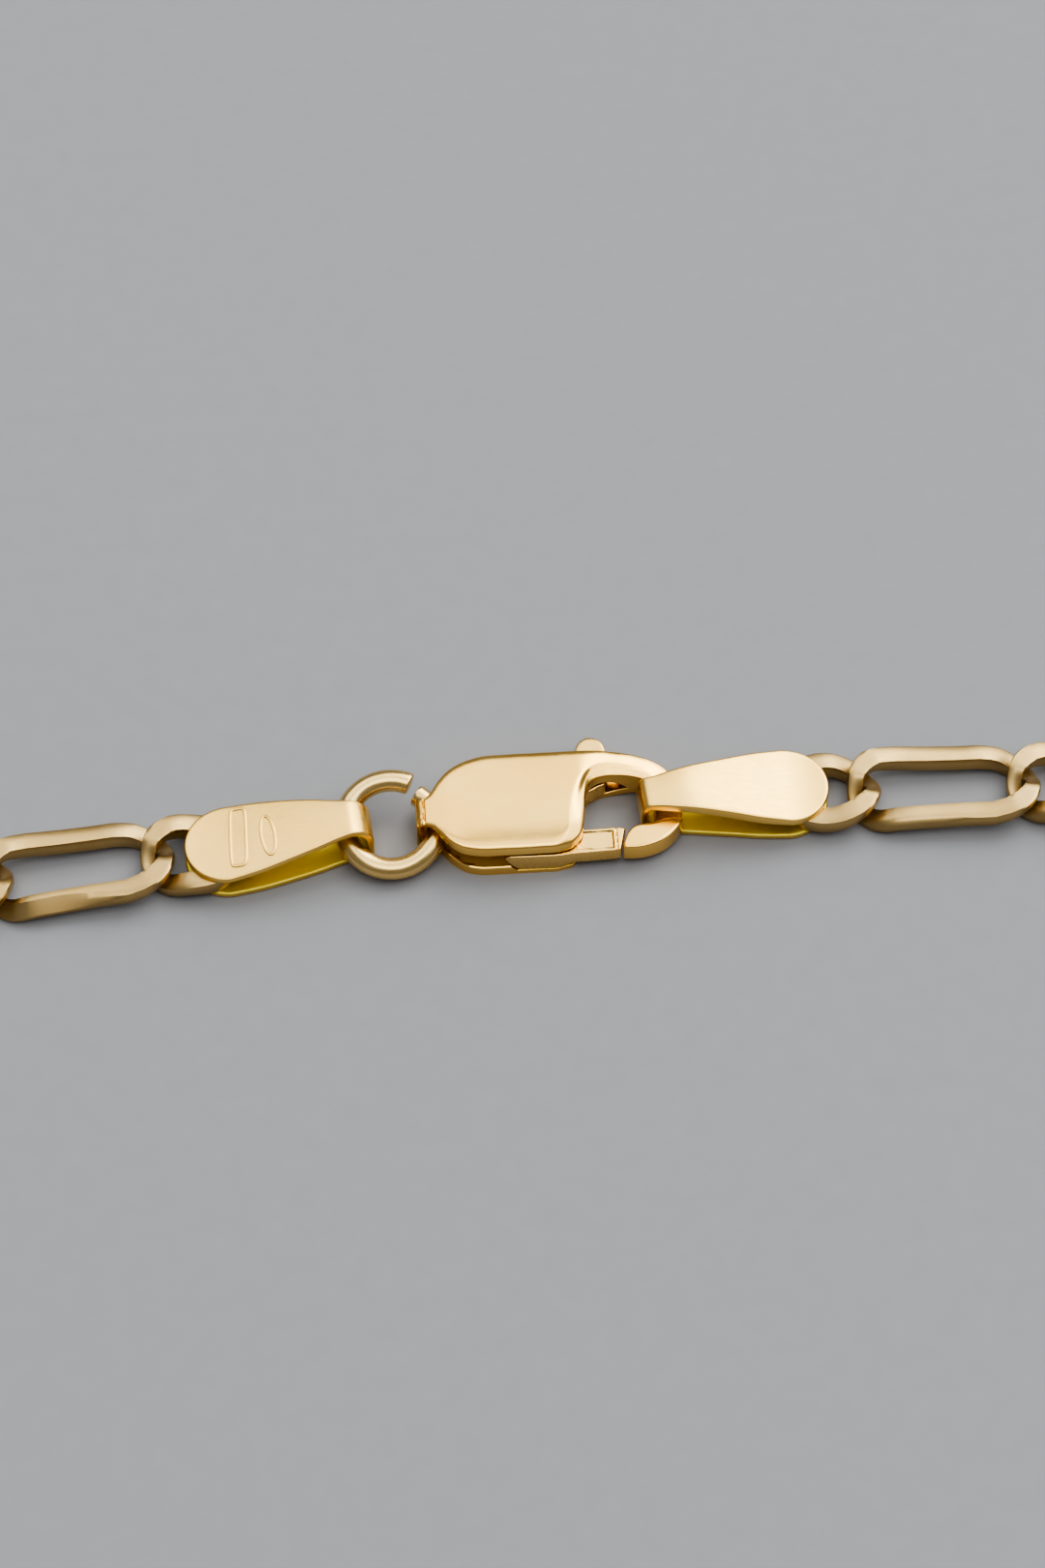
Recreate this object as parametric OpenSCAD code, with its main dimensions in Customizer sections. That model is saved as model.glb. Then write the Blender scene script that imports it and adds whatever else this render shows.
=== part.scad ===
// Figaro necklace chain, closed with a lobster clasp and laid in a flat oval on a table.
// Millimetres. +X runs along the clasp, +Y is the far side of the loop, z = 0 is the table.

/* [Links] */
// Width of a link's wire, seen from above
wire_w = 0.85; // [0.8:0.05:0.9]
// Height of a link's wire
wire_t = 0.7; // [0.6:0.05:0.7]
// Width of the wire at a link's two tips, where its neighbour hangs
tip_w = 0.65; // [0.6:0.01:0.68]
// Height of the wire at the tips
tip_t = 0.57; // [0.5:0.01:0.6]
// Outer length of a small link
small_link_l = 4.5; // [4.4:0.1:4.9]
// Outer width of a small link
small_link_w = 3.7; // [3.6:0.1:4.0]
// Outer length of a long link
long_link_l = 8.3; // [7.5:0.1:9.5]
// Outer width of a long link
long_link_w = 3.85; // [3.6:0.05:4.0]
// Half of the curb twist: how far each end quarter rises or dips from the link's middle plane
twist = 0.5; // [0.49:0.01:0.54]
// Height of a finished link, after its top and bottom are cut flat
link_h = 1.36; // [1.3:0.02:1.5]
// Clearance between the tips of two links that hang in each other
link_gap = 0.16; // [0.15:0.01:0.25]

/* [Loop] */
// Small links between one long link and the next
smalls_per_long = 3; // [1:1:5]
// Long links in the whole necklace
long_links = 27; // [25:1:30]
// Radius of the flat arcs at the front and back of the loop
flat_arc_r = 300; // [200:10:400]
// Radius of the round arcs at the sides of the loop
side_arc_r = 35; // [30:1:45]

/* [End tags] */
// Length of a folded end tag
tag_l = 8.0; // [7.8:0.1:8.2]
// Width of a tag across its round end
tag_end_w = 3.56; // [3.4:0.02:3.7]
// Width of a tag at its fold
tag_fold_w = 1.5; // [1.4:0.02:1.54]
// Outer height of a tag at its fold
tag_fold_h = 2.55; // [2.45:0.05:2.7]
// Thickness of the tag's sheet
tag_sheet = 0.3; // [0.25:0.01:0.32]

/* [Jump ring] */
// Outer diameter of the jump ring
ring_d = 4.9; // [4.85:0.05:5.0]
// Diameter of its wire
ring_wire = 0.95; // [0.85:0.05:0.95]
// Lean of the ring, with its far side up
ring_lean = 15; // [10:1:16]
// Angle that is cut out of the ring
ring_cut = 8; // [4:1:12]

/* [Clasp body] */
// Length of the clasp from its neck to the outer curve of its claw
clasp_l = 11.4; // [11.2:0.05:11.6]
// Width of the clasp across its shell
clasp_w = 4.66; // [4.6:0.02:4.8]
// Height of the clasp at the crown of its shell
clasp_h = 2.35; // [2.3:0.05:2.45]
// Thickness of the shell's sheet
shell_sheet = 0.35; // [0.3:0.01:0.38]
// Thickness of the bottom tray and of the neck
tray_sheet = 0.2; // [0.15:0.01:0.22]
// Lower edge of the shell's turned-down rim, above the table
rim_z = 1.5; // [1.45:0.05:1.6]
// Length of the mouth between the shell and the claw
mouth_l = 3.15; // [3.1:0.05:3.3]
// Width of the far arm beside the mouth
arm_w = 1.33; // [1.25:0.02:1.4]
// Width of the claw where it turns round the mouth
claw_w = 1.25; // [1.2:0.05:1.3]
// Height of the claw's bottom face above the table
claw_z = 0.43; // [0.4:0.01:0.46]
// Thickness of the claw, halfway round the mouth
claw_t = 1.0; // [0.9:0.01:1.1]
// Slope of the claw's top, which falls from the far arm to the beak
claw_slope = 4; // [2:0.5:6]

/* [Lever] */
// Thickness of the lever
lever_t = 0.9; // [0.75:0.01:1.0]
// Width of the gate
gate_w = 1.2; // [1.0:0.05:1.25]
// How much higher the gate's underside is than the lever's
gate_rise = 0.22; // [0.1:0.02:0.3]
// Distance from the lever's pin to the tip of its gate
gate_r = 3.83; // [3.7:0.01:3.9]
// Radius of the thumb knob
knob_r = 0.67; // [0.6:0.01:0.7]
// How far the knob stands out beyond the clasp's far side
knob_out = 1.2; // [1:0.05:1.4]
// Diameter of the lever's pin
pin_d = 0.7; // [0.6:0.02:0.8]
// Running clearance round the lever
lever_gap = 0.08; // [0.06:0.01:0.1]

/* [Hidden] */
$fn = 48;
gold = [0.86, 0.74, 0.5];

// Places of the pieces that lie between the two chains: x and y of its own origin, and its turn
CLASP_AT = [0.75, 0.05, -2.8];
RING_AT = [-5.16, -0.1];
RIGHT_TAG_AT = [5.6, -0.18, 0];
LEFT_TAG_AT = [-5.95, -0.1, 184];
// How far the chain's first joint lies beyond each tag's round end
right_joint_out = 1.55;
left_joint_out = 1.2;

// Chain pitch
overlap = 2 * tip_w + link_gap;
small_pitch = small_link_l - overlap;
long_pitch = long_link_l - overlap;
right_joint_s = RIGHT_TAG_AT[0] + tag_l + right_joint_out;
left_joint_s = LEFT_TAG_AT[0] - tag_l - left_joint_out;
links_between = (long_links - 1) * smalls_per_long;
loop_l = right_joint_s - left_joint_s + long_links * long_pitch + links_between * small_pitch;

// Oval of the loop: flat arcs front and back, round arcs at the sides
flat_half = (loop_l - 2 * PI * side_arc_r) / (4 * (flat_arc_r - side_arc_r)) * 180 / PI;
flat_l = flat_arc_r * flat_half * PI / 180;
side_l = side_arc_r * (180 - 2 * flat_half) * PI / 180;
side_x = (flat_arc_r - side_arc_r) * sin(flat_half);
loop_mid_y = (flat_arc_r - side_arc_r) * cos(flat_half) - flat_arc_r;

// Point and heading on the loop at the length s clockwise from the middle of its far side
function route_right(s) =
    s < flat_l ?
        let (a = s / flat_arc_r * 180 / PI)
        [flat_arc_r * sin(a), flat_arc_r * (cos(a) - 1), -a] :
    s < flat_l + side_l ?
        let (a = flat_half + (s - flat_l) / side_arc_r * 180 / PI)
        [side_x + side_arc_r * sin(a), loop_mid_y + side_arc_r * cos(a), -a] :
        let (a = 180 - flat_half + (s - flat_l - side_l) / flat_arc_r * 180 / PI)
        [flat_arc_r * sin(a), 2 * loop_mid_y + flat_arc_r * (1 + cos(a)), -a];
function route(s) =
    s < 0 ?
        let (p = route_right(-s))
        [-p[0], p[1], -p[2]] :
        route_right(s);

// Where each link of the chain starts, counted clockwise from the right end tag
links_in_all = long_links + links_between;
function longs_before(i) = floor((i + smalls_per_long) / (smalls_per_long + 1));
function joint_s(i) =
    right_joint_s + longs_before(i) * long_pitch + (i - longs_before(i)) * small_pitch;
function joint_point(i) = route(joint_s(i) > loop_l / 2 ? joint_s(i) - loop_l : joint_s(i));
function is_long(i) = i % (smalls_per_long + 1) == 0;

// A link's wire is a closed tube of six-sided rings. Half a link, from one side round its tip to
// the other, is given by the rings of a quarter: how far each lies back from the tip, in shares of
// the end's length, and out from the middle, in shares of half the width; its share of the twist;
// and how far the wire has grown from its size at the tip to its full size.
// [back, out, lift, growth]
SMALL_RINGS = [[0, 0, 0, 0], [0.16, 0.43, 1, 0.2], [1, 1, 0, 1]];
LONG_RINGS = [[0, 0, 0, 0], [0.09, 0.4, 1, 0.2], [0.65, 0.92, 0.72, 1], [1, 1, 0, 1]];
// Length of the curved end of a link's centre line
end_l = 1.65;
// Outline of the wire, across and up, in shares of its width and height
WIRE = [[0.5, 0], [0.3, 0.5], [-0.3, 0.5], [-0.5, 0], [-0.3, -0.5], [0.3, -0.5]];

// Rings of one half of a link, whose tip points along +X, with its twist and the wire's two heights
function half_link(l, w, quarter, lift, tip_h, bar_h) =
    let (
        half_l = (l - tip_w) / 2,
        half_w = (w - wire_w) / 2,
        last = len(quarter) - 1,
        rows = [for (i = [last : -1 : 1]) [quarter[i][0], -quarter[i][1], -quarter[i][2], quarter[i][3]],
                each quarter],
        middles = [for (r = rows) [half_l - end_l * r[0], half_w * r[1]]]
    )
    [for (i = [0 : 2 * last])
        let (
            r = rows[i],
            along = i == 0 ? [1, 0] : i == 2 * last ? [-1, 0] : middles[i + 1] - middles[i - 1],
            out = [along[1], -along[0]] / norm(along),
            across = tip_w + (wire_w - tip_w) * r[3],
            height = tip_h + (bar_h - tip_h) * r[3]
        )
        [for (p = WIRE)
            let (xy = middles[i] + out * p[0] * across, z = p[1] * height - lift * r[2])
            [xy[0], xy[1], max(-link_h / 2, min(link_h / 2, z))]
        ]
    ];

// The points of a whole link: one half as above, and the other turned half a turn round
function link_points(l, w, quarter, back_lift, back_tip_h, back_bar_h) = [
    for (r = half_link(l, w, quarter, twist, tip_t, wire_t)) each r,
    for (r = half_link(l, w, quarter, back_lift, back_tip_h, back_bar_h))
        for (p = r) [-p[0], -p[1], p[2]]
];
small_points = link_points(small_link_l, small_link_w, SMALL_RINGS, twist, tip_t, wire_t);
long_points = link_points(long_link_l, long_link_w, LONG_RINGS, twist, tip_t, wire_t);

// The triangles of a tube of so many rings, closed on itself, whose points start at a number
function tube_faces(rings, start) =
    let (n = len(WIRE))
    [for (i = [0 : rings - 1], j = [0 : n - 1])
        let (
            a = start + i * n + j,
            b = start + i * n + (j + 1) % n,
            c = start + (i + 1) % rings * n + (j + 1) % n,
            d = start + (i + 1) % rings * n + j
        )
        each [[a, b, c], [a, c, d]]
    ];

// A link's points, laid between its two joints on the loop
function placed(i) =
    let (
        p = joint_point(i),
        q = joint_point(i + 1),
        a = atan2(q[1] - p[1], q[0] - p[0])
    )
    [for (v = is_long(i) ? long_points : small_points) [
        (p[0] + q[0]) / 2 + v[0] * cos(a) - v[1] * sin(a),
        (p[1] + q[1]) / 2 + v[0] * sin(a) + v[1] * cos(a),
        v[2] + link_h / 2
    ]];
function rings_of(i) = len(is_long(i) ? long_points : small_points) / len(WIRE);

// Links from number "first" to number "last", as loose closed tubes
module links(first, last) {
    starts = [for (i = first, n = 0; i <= last; n = n + rings_of(i) * len(WIRE), i = i + 1) n];
    polyhedron(
        points = [for (i = [first : last]) each placed(i)],
        faces = [for (i = [first : last]) each tube_faces(rings_of(i), starts[i - first])]
    );
}

// The loop's frame has its origin below the middle of the whole necklace
far_reach = CLASP_AT[1] + clasp_w / 2 + knob_out;
near_reach = 2 * loop_mid_y - long_link_w / 2;
module in_loop() {
    translate([0, -(far_reach + near_reach) / 2, 0]) children();
}

module left_long_link() {
    color(gold) in_loop() links(links_in_all - 1, links_in_all - 1);
}

module right_long_link() {
    color(gold) in_loop() links(0, 0);
}

// The two chains meet at the middle of the loop's near side
back_link = floor(links_in_all / 2);
module right_chain() {
    color(gold) in_loop() links(1, back_link);
}

module left_chain() {
    color(gold) in_loop() links(back_link + 1, links_in_all - 2);
}

// End tag: its fold is at the origin and its round end points along +X
tag_end_h = link_h;
tag_level_l = 1.4;
tag_low_r = 0.4;
tag_top_r = 0.85;
// Side view of a tag from its fold to its round end, taken in from its outer face by "inset"
module tag_side(inset) {
    low_r = tag_low_r - inset;
    top_r = tag_top_r - inset;
    far = tag_l + 1;
    top = tag_fold_h - inset;
    polygon([
        [inset + low_r, inset], [far, inset], [far, tag_end_h - inset],
        [tag_l - tag_level_l, tag_end_h - inset], [inset + top_r, top]
    ]);
    translate([inset, inset + low_r]) square([low_r + top_r, top - top_r - inset - low_r]);
    translate([inset + low_r, inset + low_r]) circle(low_r);
    translate([inset + top_r, top - top_r]) circle(top_r);
}

// Plan of a tag: narrow at its fold, widening in a soft curve, and round at its end
module tag_plan() {
    r = tag_end_w / 2;
    side = [
        [-0.1, tag_fold_w / 2], [1.2, tag_fold_w / 2 + 0.04], [2.4, 1.12], [3.6, 1.4],
        [4.9, 1.65], [tag_l - r, r]
    ];
    polygon([each side, for (i = [len(side) - 1 : -1 : 0]) [side[i][0], -side[i][1]]]);
    translate([tag_l - r, 0]) circle(r);
}

// The folded strip
module tag_strip() {
    intersection() {
        linear_extrude(tag_fold_h) tag_plan();
        translate([0, tag_end_w / 2, 0]) rotate([90, 0, 0]) linear_extrude(tag_end_w)
            difference() {
                tag_side(0);
                tag_side(tag_sheet);
            }
    }
}

// The chain's end link: its inner half is flat and soldered between the plates of the tag, and it
// points from the middle of the tag's round end to the chain's first joint
module end_link(middle, joint) {
    soldered_t = tag_end_h - 2 * tag_sheet + 0.06;
    translate([joint[0], joint[1], link_h / 2])
        rotate([0, 0, atan2(joint[1] - middle[1], joint[0] - middle[0])])
        translate([(overlap - small_link_l) / 2, 0, 0])
        polyhedron(
            points = link_points(
                small_link_l, small_link_w, SMALL_RINGS, 0, soldered_t, soldered_t
            ),
            faces = tube_faces(len(small_points) / len(WIRE), 0)
        );
}

module end_tag(at, joint) {
    reach = tag_l - tag_end_w / 2;
    color(gold) in_loop() {
        translate([at[0], at[1], 0]) rotate([0, 0, at[2]]) tag_strip();
        end_link([at[0] + reach * cos(at[2]), at[1] + reach * sin(at[2])], joint);
    }
}

module left_end_tag() {
    end_tag(LEFT_TAG_AT, route(left_joint_s));
}

module right_end_tag() {
    end_tag(RIGHT_TAG_AT, route(right_joint_s));
}

// Jump ring: it rests in the left tag's fold and in the clasp's neck, with its far side up. Its cut
// is at the upper right.
module jump_ring() {
    coil_r = (ring_d - ring_wire) / 2;
    cut_at = 62;
    low_side_z = 0.15;
    ring_z = low_side_z + ring_wire / 2 + coil_r * sin(ring_lean);
    color(gold) in_loop() translate([RING_AT[0], RING_AT[1], ring_z])
        rotate([ring_lean, 0, 0]) rotate([0, 0, cut_at + ring_cut / 2])
        rotate_extrude(angle = 360 - ring_cut) translate([coil_r, 0]) circle(d = ring_wire);
}

// Places along the clasp, from its own origin in the middle of its width
claw_x = 6.55;
claw_r = clasp_w / 2 - 0.05;
claw_mid_x = claw_x - claw_r;
neck_x = claw_x - clasp_l;
mouth_x = claw_x - claw_w;
shell_x = mouth_x - mouth_l;
shell_mid_x = neck_x + 3.25;
arm_y = clasp_w / 2 - arm_w;
dome_r = 18;
dome_x = -0.9;
dome_across_r = 6;
tray_out = 0.16;
lever_z = tray_sheet + lever_gap;
PIN_AT = [0.2, -1.2];

module in_clasp() {
    in_loop() translate([CLASP_AT[0], CLASP_AT[1], 0]) rotate([0, 0, CLASP_AT[2]]) children();
}

// Plan of the shell: round at the neck, square at the mouth, with the far arm beside the mouth
module shell_plan(inset) {
    r = clasp_w / 2;
    corner = 0.7;
    crook = 0.8;
    translate([shell_mid_x, 0]) circle(r - inset);
    translate([shell_mid_x, inset - r]) square([shell_x - corner - shell_mid_x, 2 * (r - inset)]);
    translate([shell_mid_x, corner - r])
        square([shell_x - inset - shell_mid_x, 2 * r - corner - inset]);
    translate([shell_x - corner, corner - r]) circle(corner - inset);
    translate([shell_mid_x, arm_y + inset])
        square([claw_mid_x - shell_mid_x, arm_w - 2 * inset]);
    difference() {
        translate([shell_x - 1, arm_y - crook]) square([1 + crook - inset, crook + inset + 0.1]);
        translate([shell_x + crook, arm_y - crook]) circle(crook + inset);
    }
}

// Everything under a long pillow whose crown is at the height "top"
module under_dome(top) {
    intersection() {
        translate([dome_x, 0, top - dome_r]) sphere(dome_r, $fn = 96);
        translate([neck_x, 0, top - dome_across_r]) rotate([0, 90, 0])
            cylinder(r = dome_across_r, h = clasp_l, $fn = 96);
    }
}

// Neck: the tongue of sheet that is folded round the jump ring, a little to the near side
neck_w = 1.15;
neck_y = -0.44;
neck_top = 2.08;
module neck() {
    tongue_l = 1.9;
    translate([neck_x, neck_y, 0]) difference() {
        translate([0, -neck_w / 2, 0]) cube([tongue_l, neck_w, neck_top]);
        translate([tray_sheet, -neck_w, tray_sheet])
            cube([tongue_l, 2 * neck_w, neck_top - 2 * tray_sheet]);
    }
}

// Claw: it runs on from the far arm, turns round the mouth and ends in a beak at the gate's tip
module claw() {
    corner = 0.3;
    beak_y = -1.05;
    intersection() {
        translate([0, 0, claw_z]) linear_extrude(clasp_h) difference() {
            intersection() {
                translate([claw_mid_x, 0]) circle(claw_r, $fn = 96);
                translate([claw_mid_x - 0.5, -claw_r]) square([2 * claw_r, 2 * claw_r]);
            }
            translate([shell_x, beak_y]) square([mouth_l - corner, arm_y - beak_y]);
            translate([shell_x, beak_y + corner])
                square([mouth_l, arm_y - beak_y - 2 * corner]);
            for (y = [beak_y + corner, arm_y - corner])
                translate([mouth_x - corner, y]) circle(corner);
            translate(PIN_AT) circle(gate_r + lever_gap, $fn = 96);
        }
        translate([0, 0, claw_z + claw_t]) rotate([claw_slope, 0, 0])
            translate([0, -clasp_w, -clasp_h]) cube([clasp_l, 2 * clasp_w, clasp_h]);
    }
}

module clasp_body() {
    wall = 0.3;
    knob_slot = [-0.15, 3.55];
    arm_end_l = 0.4;
    color(gold) in_clasp() {
        // Tray, which stands out a little on the near side
        linear_extrude(tray_sheet) {
            shell_plan(0.02);
            translate([0, -tray_out]) shell_plan(0.02);
        }
        // Shell, with its rim turned down, and the clearance for the jump ring at the neck
        difference() {
            intersection() {
                translate([0, 0, rim_z]) linear_extrude(clasp_h - rim_z) shell_plan(0);
                under_dome(clasp_h);
            }
            intersection() {
                translate([0, 0, rim_z - 1]) linear_extrude(clasp_h) shell_plan(wall);
                under_dome(clasp_h - shell_sheet);
            }
            translate([neck_x, -1.45, 0]) cube([1.6, 2.9, neck_top - tray_sheet]);
        }
        // Far wall, with the slot that the lever's knob comes out of
        difference() {
            linear_extrude(rim_z + 0.1) intersection() {
                difference() {
                    shell_plan(0);
                    shell_plan(wall);
                }
                translate([shell_mid_x - 0.9, arm_y + 0.35]) square(clasp_l);
            }
            translate([knob_slot[0], 0, tray_sheet])
                cube([knob_slot[1] - knob_slot[0], clasp_w, lever_t + 2 * lever_gap]);
        }
        // Solid end of the far arm
        intersection() {
            translate([claw_mid_x - arm_end_l, arm_y, 0]) cube([arm_end_l, arm_w, clasp_h]);
            under_dome(clasp_h);
        }
        neck();
        claw();
    }
}

// Plan of the lever: a gate along the near side, a hub round the pin, and an arm to the knob
module lever_plan() {
    gate_y = -clasp_w / 2 - 0.12;
    inner_y = gate_y + gate_w;
    knob_at = [2.83, clasp_w / 2 + knob_out - knob_r];
    intersection() {
        translate(PIN_AT) circle(gate_r, $fn = 96);
        translate([-0.75, gate_y]) square([2 * gate_r, gate_w]);
    }
    polygon([
        [-0.75, gate_y], [shell_x - 0.05, gate_y], [shell_x - 0.05, inner_y], [1.85, -0.9],
        [1.85, 0.9], [2.2, 1.3], [3.3, 1.75], [knob_at[0] + knob_r, knob_at[1]],
        [knob_at[0] - knob_r, knob_at[1]], [1.0, 1.6], [-0.3, 0.2], [-0.75, -1.0]
    ]);
    translate(knob_at) circle(knob_r);
}

module clasp_lever() {
    color(gold) in_clasp() translate([0, 0, lever_z]) difference() {
        linear_extrude(lever_t) lever_plan();
        translate([PIN_AT[0], PIN_AT[1], -1]) cylinder(d = pin_d + 2 * lever_gap, h = lever_t + 2);
        // The gate's underside is a little higher than the lever's
        translate([1.35, -clasp_w, -1]) cube([clasp_l, clasp_w - 0.9, 1 + gate_rise]);
    }
}

// Rivet, from the tray to the underside of the shell
module lever_pin() {
    seat = 0.1;
    top = clasp_h - shell_sheet - 0.31;
    color(gold) in_clasp() translate([PIN_AT[0], PIN_AT[1], tray_sheet + seat])
        cylinder(d = pin_d, h = top - seat - tray_sheet);
}

clasp_body();
clasp_lever();
lever_pin();
jump_ring();
left_end_tag();
right_end_tag();
left_long_link();
right_long_link();
left_chain();
right_chain();
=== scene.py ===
from math import radians

import bmesh
import bpy
import numpy as np
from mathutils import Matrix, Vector


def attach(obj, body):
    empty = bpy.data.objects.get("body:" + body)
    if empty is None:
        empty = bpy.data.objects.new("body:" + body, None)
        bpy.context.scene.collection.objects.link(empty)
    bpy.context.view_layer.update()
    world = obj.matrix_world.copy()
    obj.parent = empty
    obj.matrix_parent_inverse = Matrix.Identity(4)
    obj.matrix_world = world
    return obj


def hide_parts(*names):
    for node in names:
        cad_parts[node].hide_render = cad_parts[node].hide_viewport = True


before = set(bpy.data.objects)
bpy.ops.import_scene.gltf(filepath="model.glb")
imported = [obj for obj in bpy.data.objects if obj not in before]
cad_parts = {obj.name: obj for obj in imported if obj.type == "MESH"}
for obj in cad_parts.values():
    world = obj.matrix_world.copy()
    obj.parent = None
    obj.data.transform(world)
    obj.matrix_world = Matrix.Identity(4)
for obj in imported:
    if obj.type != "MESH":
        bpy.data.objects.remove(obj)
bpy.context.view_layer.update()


# Chain
# Figaro chain of yellow gold: curb links of square-sided wire, three small ones after each long
# one, hooked through each other and soldered shut. Each is twisted so that it lies flat, then cut
# level above and below.
WIRE_W, WIRE_T = 0.86, 0.74      # the wire along a link's sides, in mm as all sizes here
TIP_W, TIP_T = 0.66, 0.58        # and where it is drawn in at the two tips
INNER_R, OUTER_R = 0.09, 0.17    # rounding of the wire's corners inside and outside the link
LINK_H, CUT_BLEND = 1.36, 0.035  # height between the two level cuts, and how softly they run in
TWIST = 0.5                      # how far the end quarters rise or dip
END_L = 1.65                     # length of a link's rounded end
SMALL_LINK = (4.5, 3.7)          # length and width
LONG_LINK = (8.3, 3.85)
HOOKED_TIP, LINK_PLAY = 0.65, 0.16  # a tip's width in the solids, and the play between two tips
LINK_OVERLAP = 2 * HOOKED_TIP + LINK_PLAY
SMALLS_PER_LONG, LONG_LINKS = 3, 27
FLAT_R, SIDE_R = 300.0, 35.0     # arcs of the oval in which the loop lies
RIGHT_JOINT, LEFT_JOINT = 15.15, -15.15
CLASP_FAR, LINK_NEAR = 3.58, 1.925  # reach of the clasp behind the oval, of a link in front of it
# The links' gold is a darker copy of the clasp's: painted shade
LINK_GOLD_PAINTED_SHADE = (0.56, 0.405, 0.2)

# Corners of a link's centre line from its tip to its side, where the end rises and where it dips:
# back from the tip in shares of END_L, out in shares of half the width, share of the twist, growth
# of the wire, share of the facet or the roll of that side
SMALL_RISE = [(0, 0, 0, 0, 0), (0.045, 0.26, 0.6, 0.1), (0.2, 0.55, 1, 0.55), (0.52, 0.86, 0.75, 1)]
SMALL_DIP = [(0, 0, 0, 0, 0), (0.045, 0.26, 0.55, 0.08, 0.2), (0.2, 0.55, 0.98, 0.3, 0.6),
             (0.52, 0.86, 0.62, 0.8, 1), (1, 1, 0, 1, 0.7)]
LONG_RISE = [(0, 0, 0, 0, 0), (0.03, 0.24, 0.6, 0.1), (0.14, 0.52, 1, 0.55), (0.42, 0.83, 0.95, 1),
             (0.74, 0.97, 0.55, 1)]
LONG_DIP = [(0, 0, 0, 0, 0), (0.03, 0.24, 0.6, 0.06, 0.2), (0.14, 0.52, 1, 0.3, 0.6),
            (0.44, 0.83, 0.85, 0.8, 1), (0.74, 0.97, 0.4, 1, 1), (1, 1, 0.12, 1, 0.95)]
# Two more corners on each bar of a long link: where, in shares of the last corner's x, how far they
# lie above the middle, and the share of the roll and of the facet that is left there
BAR_AT, BAR_RISE, ROLL_LEFT, FACET_LEFT = 0.3, (0.04, 0.1), (0.9, 0.6), (0.95, 0.65)
# Facet filed along a link's outer edge, as a share of a whole one, and the roll of its other side
# in degrees
NEAR_FACET, FAR_ROLL = 0.6, -6.0
FACET_IN, FACET_DOWN = 0.65, 0.6  # shares of the wire's width and height that a whole facet takes
ROUND_BULGE = 0.207               # how far a round corner bulges, half of the root of 2 less 1
LINK_STEPS, END_LINK_STEPS = 3, 4  # rings from one corner to the next


def through(rows, steps, closed):
    """Curve through the rows of a table: cubic pieces, whose slope at a row is the mean of the
    slopes to its two neighbours, each weighted by the length of the other."""
    rows = np.asarray(rows, float)
    if closed:
        after, before = np.roll(rows, -1, 0), np.roll(rows, 1, 0)
    else:
        after = np.vstack([rows[1:], 2 * rows[-1] - rows[-2]])
        before = np.vstack([2 * rows[0] - rows[1], rows[:-1]])
    ahead = np.linalg.norm((after - rows)[:, :3], axis=1)[:, None] + 1e-9
    behind = np.linalg.norm((rows - before)[:, :3], axis=1)[:, None] + 1e-9
    slope = ((rows - before) / behind * ahead + (after - rows) / ahead * behind) / (ahead + behind)
    first, last = rows, np.roll(rows, -1, 0)
    leave, arrive = slope * ahead, np.roll(slope, -1, 0) * ahead
    if not closed:
        first, last, leave, arrive = first[:-1], last[:-1], leave[:-1], arrive[:-1]
    t = (np.arange(steps) / steps)[None, :, None]
    curve = (first[:, None] * (2 * t**3 - 3 * t**2 + 1) + leave[:, None] * (t**3 - 2 * t**2 + t)
             + last[:, None] * (3 * t**2 - 2 * t**3) + arrive[:, None] * (t**3 - t**2))
    curve = curve.reshape(-1, rows.shape[1])
    return curve if closed else np.vstack([curve, rows[-1:]])


def link_corners(size, rise, dip, facet=NEAR_FACET, back_twist=TWIST):
    """Corners of a whole link, tips along X: x, y, z, the wire's width, height, roll and facet. One
    half runs from the near side round the right tip to the far side, the other is that half turned
    half a turn. A long link's bars get two more corners each."""
    up = np.array([row + (0,) * (5 - len(row)) for row in rise], float)
    rows = np.vstack([up[:0:-1] * [1, -1, -1, 1, -1], np.array(dip, float)])
    half_l, half_w = (size[0] - TIP_W) / 2, (size[1] - WIRE_W) / 2
    x, y = half_l - END_L * rows[:, 0], half_w * rows[:, 1]
    wide, high = TIP_W + (WIRE_W - TIP_W) * rows[:, 3], TIP_T + (WIRE_T - TIP_T) * rows[:, 3]
    front = np.column_stack([x, y, -TWIST * rows[:, 2], wide, high, FAR_ROLL * rows[:, 4], 0 * x])
    back = np.column_stack([-x, -y, -back_twist * rows[:, 2], wide, high, 0 * x,
                            facet * rows[:, 4]])
    if size == SMALL_LINK:
        return np.vstack([front, back])
    bar = BAR_AT * x[-1]
    far_bar = [[at, half_w, z, WIRE_W, WIRE_T, share * FAR_ROLL, 0]
               for at, z, share in zip((bar, -bar), BAR_RISE, ROLL_LEFT)]
    near_bar = [[at, -half_w, z, WIRE_W, WIRE_T, 0, share * facet]
                for at, z, share in zip((-bar, bar), BAR_RISE, FACET_LEFT)]
    return np.vstack([front, far_bar, back, near_bar])


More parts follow.
